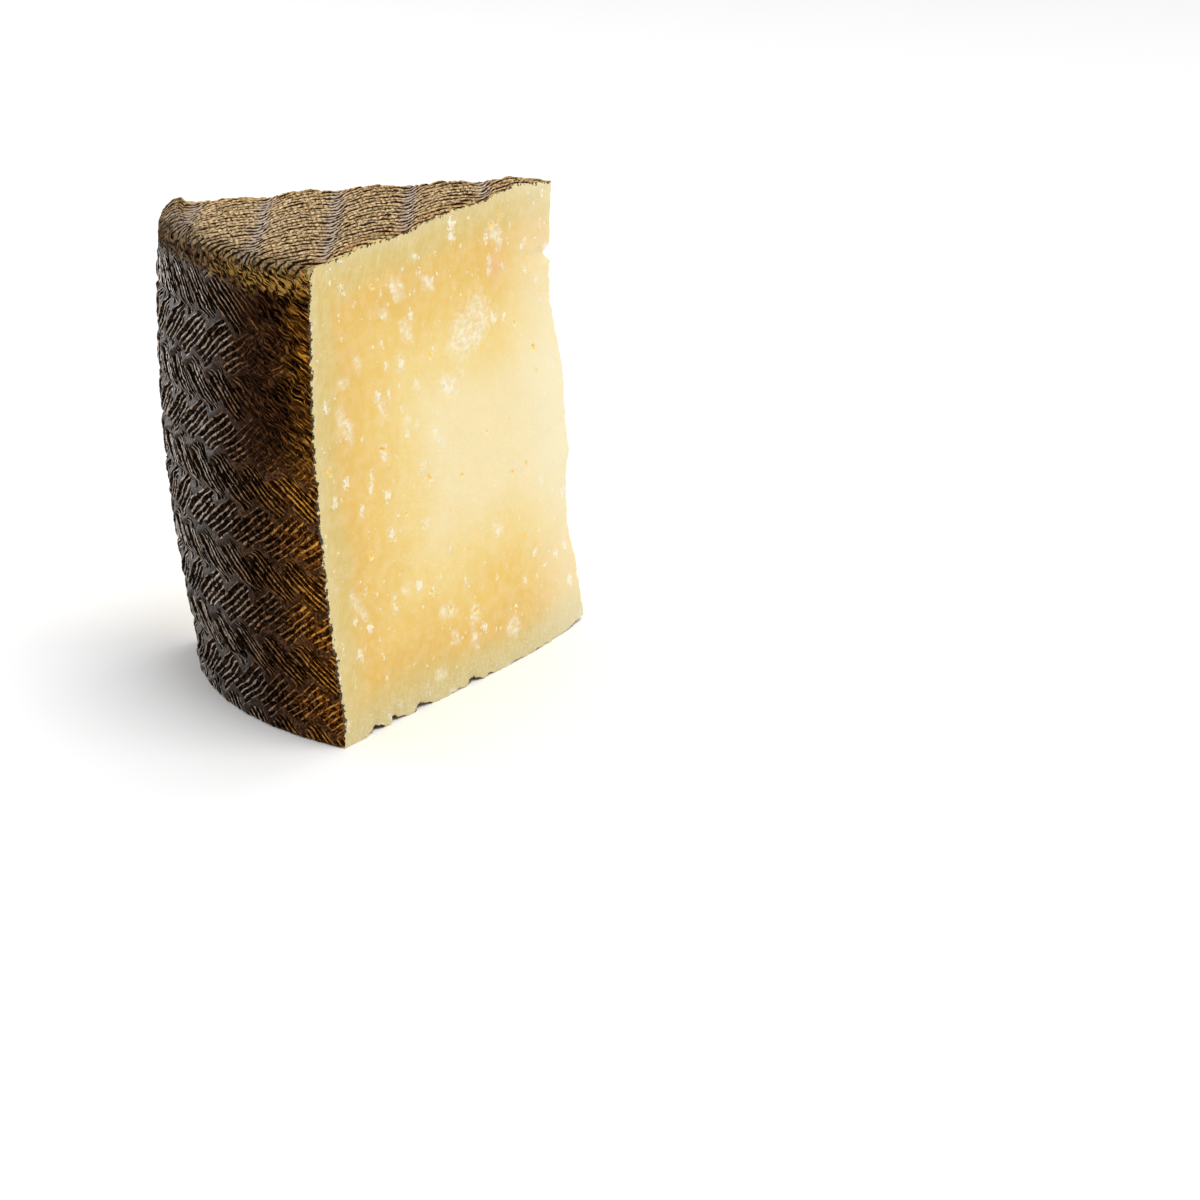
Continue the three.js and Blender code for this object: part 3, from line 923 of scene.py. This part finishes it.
class Nodes:
    """Short calls for the nodes of one material."""

    def __init__(self, material):
        self.tree = material.node_tree
        self.tree.nodes.clear()
        output = self.tree.nodes.new("ShaderNodeOutputMaterial")
        self.shader = self.tree.nodes.new("ShaderNodeBsdfPrincipled")
        self.tree.links.new(self.shader.outputs[0], output.inputs["Surface"])

    def feed(self, node, inputs):
        for key, value in inputs.items():
            if isinstance(value, Wire):
                self.tree.links.new(value.socket, node.inputs[key])
            else:
                node.inputs[key].default_value = value

    def add(self, kind, inputs, output=0, **settings):
        """A new node's output."""
        node = self.tree.nodes.new("ShaderNode" + kind)
        for key, value in settings.items():
            setattr(node, key, value)
        self.feed(node, inputs)
        return Wire(self, node.outputs[output])

    def math(self, kind, a, b=0.0):
        return self.add("Math", {0: a, 1: b}, operation=kind)

    def most(self, a, b):
        return self.math("MAXIMUM", a, b)

    def fold(self, a):
        """Distance to the nearest whole number."""
        return self.math("PINGPONG", a, 0.5)

    def ramp(self, value, low, high, out_low=0.0, out_high=1.0):
        ends = {1: low, 2: high, 3: out_low, 4: out_high}
        return self.add("MapRange", {0: value, **ends}, interpolation_type="SMOOTHSTEP")

    def mix(self, share, a, b, kind="MIX"):
        inputs = {0: share, 6: linear(a), 7: linear(b)}
        return self.add("Mix", inputs, 2, data_type="RGBA", blend_type=kind)

    def coats(self, colour, *coats):
        """A colour under coats, each given as its share and its colour."""
        for share, coat in coats:
            colour = self.mix(share, colour, coat)
        return colour

    def value(self, name, output="Fac"):
        return self.add("Attribute", {}, output, attribute_name=name)

    def split(self, vector):
        first = self.add("SeparateXYZ", {0: vector})
        return [Wire(self, socket) for socket in first.socket.node.outputs]

    def join(self, x, y, z):
        return self.add("CombineXYZ", {0: x, 1: y, 2: z})

    def place(self):
        return self.add("TexCoord", {}, "Object")

    def place_mm(self):
        """The place's three coordinates in millimetres."""
        return [axis / MM for axis in self.split(self.place())]

    def texture(self, vector, scale, detail, rough=0.5):
        inputs = {"Vector": vector, "Scale": scale, "Detail": detail, "Roughness": rough}
        return self.add("TexNoise", inputs, "Fac")

    def noise(self, size_mm, detail, rough=0.5):
        return self.texture(self.place(), 1 / (size_mm * MM), detail, rough)

    def patches(self, size_mm, detail, rough, low, high, out_low=0.0, out_high=1.0):
        """Soft-edged patches of noise of this size."""
        return self.ramp(self.noise(size_mm, detail, rough), low, high, out_low, out_high)

    def grain(self, across, up, turn, long, short):
        """Noise in streaks, turned by an angle in degrees, with their length and width in mm."""
        c, d = math.cos(math.radians(turn)), math.sin(math.radians(turn))
        along = across * -c + up * d
        aside = across * d + up * c
        return self.texture(self.join(along / long, aside / short, 0.0), 1.0, 3)

    def specks(self, size_mm, largest, ragged, shift):
        """Scattered ragged specks of many sizes, one at most per cell of this size."""
        shifts = {"Location": (shift, 2 * shift, shift), "Scale": (1, 1, 0.75)}
        moved = self.add("Mapping", {"Vector": self.place(), **shifts})
        distance = self.add("TexVoronoi", {"Vector": moved, "Scale": 1 / (size_mm * MM)}, "Distance")
        luck = self.split(Wire(self, distance.socket.node.outputs["Color"]))[0]
        reach = luck**2.5 * largest
        rough = self.noise(0.9, 5, 0.7) * ragged - 0.5 * ragged
        return self.ramp(reach - (distance + rough), -0.02, 0.03)

    def bands(self, value, stops):
        """A colour ramp through stops of (share, colour)."""
        wire = self.add("ValToRGB", {0: value})
        ramp = wire.socket.node.color_ramp
        ramp.interpolation = "EASE"
        while len(ramp.elements) < len(stops):
            ramp.elements.new(0.5)
        for element, (at, colour) in zip(ramp.elements, stops, strict=True):
            element.position = at
            element.color = linear(colour)
        return wire

    def bump(self, height, distance_mm, strength, normal=None):
        inputs = {"Height": height, "Distance": distance_mm * MM, "Strength": strength}
        if normal is not None:
            inputs["Normal"] = normal
        return self.add("Bump", inputs)

    def from_axis(self):
        """Distance from the wheel's axis in millimetres."""
        x, y, _ = self.place_mm()
        x = x - AXIS_X
        return self.math("SQRT", x * x + y * y)


# The paste's colour by its depth below the rind, in shares of this depth in millimetres.
BANDS_DEPTH = 50
PASTE_BANDS = (
    (0.0, (220, 200, 138)),
    (0.1, (221, 193, 112)),
    (0.24, (232, 190, 95)),
    (0.4, (238, 200, 107)),
    (0.62, (243, 214, 135)),
    (0.9, (246, 226, 172)),
)
CHALK = (255, 250, 230)


def paste_ground(nodes, z, edge):
    """The paste's even colour: bands below the rind, paler at the wheel's heart."""
    wander = (nodes.noise(18, 3) - 0.5) * 16
    depth = edge + wander * nodes.ramp(edge, 2, 12)
    colour = nodes.bands(depth / BANDS_DEPTH, PASTE_BANDS)
    radius = nodes.from_axis()
    pale = nodes.ramp(radius, 28, 2) * nodes.ramp(z, 8, 40, 0.85, 1.0)
    pale = pale * nodes.ramp(z, 104, 86, 0.6, 1.0)
    mottle = nodes.patches(3.0, 4, 0.65, 0.35, 0.7)
    drag = nodes.ramp(nodes.grain(radius, z, 62, 5.0, 0.35), 0.5, 0.72) * nodes.ramp(edge, 16, 3)
    return nodes.coats(
        colour,
        (pale * 0.6, (250, 240, 205)),
        (mottle * 0.2, (251, 238, 200)),
        (drag * 0.25, (252, 242, 208)),
    )


def paste_specks(nodes, colour, z, edge):
    """Chalky flecks, amber spots, and grit by the foot. It gives the colour and the flecks."""
    fleck = nodes.most(nodes.specks(4.0, 0.32, 1.3, 0.0), nodes.specks(1.9, 0.22, 1.1, 0.03))
    fleck = fleck * nodes.ramp(edge, 42, 24, 0.35, 1.0)
    grit = nodes.patches(0.6, 3, 0.7, 0.5, 0.6) * nodes.ramp(z, 9, 2)
    colour = nodes.coats(
        colour,
        (fleck * nodes.patches(0.7, 3, 0.6, 0.38, 0.58, 0.4, 0.85), CHALK),
        (nodes.specks(4.6, 0.2, 0.9, 0.05) * 0.5, (250, 206, 110)),
        (grit * 0.5, (248, 238, 208)),
        (nodes.ramp(z, 12, 1, 0.0, 0.4), (206, 192, 140)),
    )
    return colour, fleck


def paste_marks(nodes, colour):
    """The crumbly patches, the holes and the blush. It gives the colour and the torn grain."""
    crumb, eye = nodes.value("crumb"), nodes.value("eye")
    torn = nodes.patches(1.7, 5, 0.65, 0.46, 0.56)
    halo = nodes.ramp(eye, 0.01, 0.15) * nodes.patches(0.9, 4, 0.5, 0.42, 0.56)
    hole = nodes.ramp(eye * (nodes.noise(0.8, 3, 0.6) * 1.6 + 0.1), 0.05, 0.4)
    colour = nodes.coats(
        colour,
        (crumb * (torn * 0.4 + 0.25), (255, 249, 228)),
        (halo * 0.8, CHALK),
        (hole * 0.9, (255, 218, 118)),
        (nodes.value("blush") * 0.6, (240, 184, 140)),
    )
    return colour, torn * crumb


def paste_bark(nodes, z, edge):
    """1 in the thin ragged line where the rind's edge shows on a cut, widened low down into the foot's
    notches, where it is partly rind and partly painted shadow under the lifted edge.
    """
    ragged = nodes.noise(1.2, 3, 0.7) * 3.4 - 1.75
    ragged = nodes.noise(0.45, 2) * 1.2 + ragged
    # In the foot's notches, which lift off the floor, the dark is partly rind and partly painted
    # shadow.
    low = nodes.ramp(z, 4, 2) * (nodes.value("notch") * 2.2 - 0.95)
    high = nodes.ramp(z, 107, 109) * -0.3
    return nodes.ramp(ragged + (low + high) - edge, -0.05, 0.1)


def paste_material(nodes):
    z = nodes.place_mm()[2]
    edge = nodes.value("edge")
    colour = paste_ground(nodes, z, edge)
    colour, fleck = paste_specks(nodes, colour, z, edge)
    colour, torn = paste_marks(nodes, colour)
    colour = nodes.mix(paste_bark(nodes, z, edge), colour, (62, 42, 22))
    normal = nodes.bump(nodes.noise(2.2, 3), 0.35, 0.5)
    normal = nodes.bump(nodes.noise(0.55, 4, 0.65), 0.16, 0.7, normal)
    nodes.feed(
        nodes.shader,
        {
            "Base Color": colour,
            "Roughness": 0.5,
            "Subsurface Weight": 0.18,
            "Subsurface Radius": (0.0035, 0.0022, 0.001),
            "Subsurface Scale": 1.0,
            "Specular IOR Level": 0.35,
            "Normal": nodes.bump(nodes.most(torn, fleck), 0.2, 0.4, normal),
        },
    )


def leaf_strokes(nodes, browner):
    """Where the grooves are, where the crests between them are, and the place along the leaf."""
    across, along, luck = nodes.split(nodes.value("leaf", "Vector"))
    worn = nodes.value("worn")
    falling = nodes.most(nodes.value("falling"), nodes.ramp(worn, 0.45, 0.55))
    pitch = falling * (FALLING_PITCH - RISING_PITCH) + RISING_PITCH
    first = falling * (FALLING_FIRST - RISING_FIRST) + RISING_FIRST
    place = nodes.join(across * 0.4, along * 0.07, luck * 40.0)
    wander = nodes.texture(place, 1.0, 1) - 0.5
    fibre = nodes.texture(place, 3.0, 2) - 0.5
    off = nodes.fold((across - first) / pitch + wander * (worn * 1.6 + 0.42))
    blob = nodes.noise(1.7, 3, 0.6) - 0.5
    width = browner * 0.02 + 0.34 + fibre * 0.55 + blob * 0.55
    reach = nodes.ramp(nodes.value("reach"), 0.1, 0.6) * (worn * -0.45 + 1.0)
    crest = nodes.ramp(off - width, 0.0, 0.1) * reach
    crest = crest * nodes.ramp(fibre, -0.15, 0.1, 0.45, 1.0)
    across_ribs = nodes.join(across * 0.1, along * 0.4, luck * 40.0 + 9.0)
    nick = nodes.ramp(nodes.texture(across_ribs, 1.0, 3), 0.57, 0.63) * (falling * -0.6 + 0.8)
    groove = nodes.most(nodes.ramp(width - off, -0.06, 0.05), nick)
    return groove * reach, crest, along


def cloth_relief(nodes):
    """The cloth's print: how deep its hollows are, and the place across a row."""
    row, strand, lane = (nodes.value(key) for key in ("row", "strand", "lane"))
    fine = nodes.noise(0.9, 3, 0.6) - 0.5
    broad = nodes.noise(2.5, 2) - 0.5
    line = nodes.fold(fine * 0.35 + row)
    valley = nodes.ramp(broad * 0.4 + 0.19 - line, -0.07, 0.05)
    bead = fine * 0.8 + strand + nodes.math("FLOOR", row) * 0.37
    gap = nodes.ramp(nodes.fold(bead), 0.2, 0.05) * (1.0 - lane)
    patchy = nodes.patches(1.3, 3, 0.6, 0.4, 0.65, 0.05, 0.85)
    return nodes.most(valley, gap * patchy), line


def cloth_colour(nodes, z, to_cut):
    """The cloth's print on the top and the foot: its colour and its relief."""
    hollow, line = cloth_relief(nodes)
    mottle = nodes.patches(5, 4, 0.6, 0.3, 0.7)
    # The lanes' lilac-grey between row lines is partly their own paler colour and partly painted
    # highlight.
    in_lane = nodes.mix(nodes.ramp(line, 0.15, 0.4), (110, 88, 68), (182, 172, 170))
    colour = nodes.coats(
        nodes.mix(mottle, (142, 112, 76), (180, 148, 106)),
        (nodes.patches(0.7, 3, 0.5, 0.4, 0.65), (230, 202, 156)),
        (nodes.value("lane") * 0.8, in_lane),
        (hollow, nodes.mix(mottle, (26, 16, 8), (48, 32, 18))),
        (nodes.patches(1.4, 2, 0.5, 0.66, 0.72) * 0.8, (34, 24, 14)),
    )
    # Painted shade: the cloth darkens towards the rim, and more on the foot, which faces the floor.
    by_rim, on_foot = nodes.ramp(nodes.from_axis(), 80, 91), nodes.ramp(z, 60, 50)
    shade = nodes.most(by_rim * 0.5, on_foot * 0.8)
    colour = nodes.mix(shade, colour, nodes.mix(0.75, colour, (48, 34, 20), "MULTIPLY"))
    tint = nodes.ramp(to_cut, 9, 0) * 0.6
    colour = nodes.mix(tint, colour, nodes.mix(0.6, colour, (232, 190, 100), "MULTIPLY"))
    straw = nodes.ramp(nodes.noise(1.4, 3, 0.7) * 5.0 - 1.7 - to_cut, -0.6, 0.3)
    colour = nodes.mix(straw * 0.85, colour, (222, 198, 134))
    return colour, 1.0 - hollow


def plait_colour(nodes, groove, crest, along, near_cut, browner):
    """The plaited print: grey-brown ribs far from the near cut, ochre ones beside it, with painted
    sheen on the crests and painted shade in the grooves and at the falling leaves' lower ends.
    """
    falling, reach = nodes.value("falling"), nodes.value("reach")
    mottle = nodes.patches(5, 4, 0.6, 0.35, 0.65)
    rib = nodes.mix(mottle, (40, 27, 17), (64, 46, 29))
    rib = nodes.mix(browner, rib, nodes.mix(mottle, (60, 40, 28), (96, 68, 48)))
    ochre = nodes.mix(nodes.patches(1.0, 3, 0.5, 0.42, 0.6), (76, 42, 16), (172, 108, 38))
    # Crest colour: partly the ribs' own paler tops, partly painted sheen; palest grey far from the
    # near cut.
    light = nodes.coats((184, 160, 136), (browner, (168, 116, 68)), (near_cut, (248, 180, 76)))
    # Groove colour: partly the print's own dark, partly painted shade in the grooves; lighter in
    # stained patches.
    groove_colour_and_shade = nodes.mix(near_cut, (12, 7, 4), (40, 20, 9))
    stain = nodes.patches(1.1, 4, 0.6, 0.46, 0.62) * ((1.0 - falling) * 0.45 + 0.4)
    groove_colour_and_shade = nodes.mix(stain, groove_colour_and_shade, nodes.mix(near_cut, (70, 50, 37), (150, 88, 34)))
    flat = nodes.ramp(reach, 0.5, 0.0)
    speck = nodes.ramp(flat * 0.1 + nodes.noise(0.7, 3), 0.57, 0.64)
    return nodes.coats(
        rib,
        (near_cut * nodes.ramp(reach, 0.0, 0.5, 0.3, 0.9), ochre),
        (crest * 0.95, light),
        # Painted shade at the lower end of each falling leaf.
        (nodes.ramp(along, 24, 42) * falling * 0.3, (30, 18, 10)),
        (groove, groove_colour_and_shade),
        (speck * 0.75, (22, 12, 6)),
    )


def worn_colour(nodes, colour, fuzz, hair, by_cut, worn):
    """Dark and golden threads where the print is worn."""
    return nodes.coats(
        colour,
        (worn * 0.6, nodes.mix(by_cut, (58, 33, 19), (122, 72, 28))),
        (worn * nodes.ramp(fuzz, 0.5, 0.46), (8, 3, 1)),
        (worn * nodes.ramp(fuzz, 0.54, 0.6) * 0.85, nodes.mix(by_cut, (112, 70, 42), (226, 156, 52))),
        (nodes.ramp(hair, 0.5, 0.44) * worn * 0.75, (16, 7, 2)),
    )


def tufted_colour(nodes, colour, z, bent, browner):
    """Pale tufts round the top's shoulder."""
    torn = nodes.noise(2.6, 4, 0.65) * 12 - 6
    high = nodes.ramp(z + torn, 102.5, 105)
    strand = nodes.ramp(nodes.grain(bent, z, 150, 2.4, 0.5), 0.47, 0.57)
    tuft = nodes.mix(browner, (146, 118, 84), (228, 176, 88))
    return nodes.mix(high * 0.7, colour, nodes.mix(strand, (20, 11, 5), tuft))


def rind_material(nodes):
    z = nodes.place_mm()[2]
    to_cut, worn = nodes.value("to_cut"), nodes.value("worn")
    wander = nodes.noise(7, 3) * 14
    near_cut = nodes.ramp(to_cut + wander, 25, 9)
    browner = nodes.ramp(to_cut + wander, 50, 20)
    groove, crest, along = leaf_strokes(nodes, browner)
    colour = plait_colour(nodes, groove, crest, along, near_cut, browner)

    bent = nodes.noise(4, 2) * 5.0 + to_cut
    fuzz = nodes.grain(bent, z, 145, 3.6, 0.42)
    hair = nodes.grain(bent, z, 138, 1.8, 0.24)
    by_cut = nodes.ramp(wander * 0.5 + to_cut, 13, 4)
    colour = worn_colour(nodes, colour, fuzz, hair, by_cut, worn)
    colour = tufted_colour(nodes, colour, z, bent, browner)

    cloth, relief = cloth_colour(nodes, z, to_cut)
    ragged = nodes.noise(1.8, 3, 0.65) * 2.4 - 1.2
    share = nodes.ramp(nodes.value("cap") + ragged, 0.3, 0.7)
    sunk = groove * (1.0 - share)
    dull = nodes.most(browner * 0.85, worn)
    shine = crest + nodes.ramp(sunk, 0.0, 1.0, 0.12, 0.0)
    rough = nodes.ramp(sunk + share, 0.0, 1.0, 0.48, 0.75)
    height = relief * share + (1.0 - groove) + nodes.ramp(fuzz, 0.44, 0.6) * worn
    normal = nodes.bump(height, 0.42, 0.9)
    nodes.feed(
        nodes.shader,
        {
            "Base Color": nodes.mix(share, colour, cloth),
            "Roughness": rough - crest * (1.0 - share) * 0.14,
            "Specular IOR Level": shine * nodes.ramp(dull, 0, 0.75, 1, 0.02),
            "Normal": nodes.bump(nodes.noise(0.6, 3, 0.65), 0.18, 0.9, normal),
        },
    )


def floor_material(nodes):
    nodes.feed(nodes.shader, {"Base Color": (0.95, 0.95, 0.95, 1), "Roughness": 0.6})


MAKERS = {
    "paste": paste_material,
    "rind": rind_material,
    "studio_floor": floor_material,
}


def material_of(name):
    material = bpy.data.materials.new(name)
    material.use_nodes = True
    MAKERS[name](Nodes(material))
    return material


# ---------------------------------------------------------------- the studio

# The camera, measured from the wheel's axis, with the far cut along -X. It looks down by its pitch.
CAMERA_AT = (-1.01, -783.449, 287.764)
CAMERA_AZIMUTH = math.radians(-0.476)
CAMERA_PITCH = math.radians(19.867)
CAMERA_ROLL = math.radians(-3.06)
CAMERA_LENS = 102.46
CAMERA_SENSOR = 36
CAMERA_REACH = 20  # metres

FLOOR_HALF = 4.0  # metres
LIT_POINT = (0, 0, 0.05)  # metres: the middle of the wedge, about
SKY_LIGHT = 0.53

# Lights, as the azimuth from the camera's side, positive to its right, the elevation, the
# distance from the lit point, the disk's size, and the power.
LIGHTS = {
    "key": (50, 66, 1.6, 0.9, 14.2),
    "back_left": (-132, 14, 1.4, 0.7, 8.5),
    "back_right": (150, 66, 1.6, 1.0, 4.5),
}


def place_camera():
    pose = Matrix.Rotation(-HALF_ANGLE, 4, "Z") @ Matrix.Translation(Vector(CAMERA_AT) * MM)
    pose = Matrix.Translation((AXIS_X * MM, 0, 0)) @ pose
    for angle, axis in ((CAMERA_AZIMUTH, "Z"), (math.pi / 2 - CAMERA_PITCH, "X"), (CAMERA_ROLL, "Z")):
        pose = pose @ Matrix.Rotation(angle, 4, axis)
    data = bpy.data.cameras.new("camera")
    data.lens = CAMERA_LENS
    data.sensor_width = CAMERA_SENSOR
    data.clip_end = CAMERA_REACH
    camera = add_object("camera", data)
    camera.matrix_world = pose
    bpy.context.scene.camera = camera


def area_light(name, azimuth, elevation, distance, size, power):
    """A soft light that faces the wedge."""
    data = bpy.data.lights.new(name, "AREA")
    data.shape = "DISK"
    data.size = size
    data.energy = power
    light = add_object(name, data)
    turn = math.radians(azimuth) - HALF_ANGLE
    tall = math.radians(elevation)
    way = Vector((math.sin(turn) * math.cos(tall), -math.cos(turn) * math.cos(tall), math.sin(tall)))
    light.location = Vector(LIT_POINT) + way * distance
    light.rotation_euler = (-way).to_track_quat("-Z", "Y").to_euler()


def light_studio():
    world = bpy.data.worlds.new("studio")
    world.use_nodes = True
    sky = world.node_tree.nodes["Background"]
    sky.inputs["Color"].default_value = (1, 1, 1, 1)
    sky.inputs["Strength"].default_value = SKY_LIGHT
    bpy.context.scene.world = world
    for name, numbers in LIGHTS.items():
        area_light(name, *numbers)
    bpy.context.scene.view_settings.view_transform = "Standard"


def make_floor():
    mesh = bpy.data.meshes.new("floor")
    corners = [(x * FLOOR_HALF, y * FLOOR_HALF, 0) for x, y in ((-1, -1), (1, -1), (1, 1), (-1, 1))]
    mesh.from_pydata(corners, [], [(0, 1, 2, 3)])
    mesh.materials.append(material_of("studio_floor"))
    floor = add_object("floor", mesh)


place_camera()
light_studio()
make_floor()

cheese = mesh_object(build_shell(), "cheese", ["rind", "paste"])
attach(cheese, "root")
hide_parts("cheese_wedge")
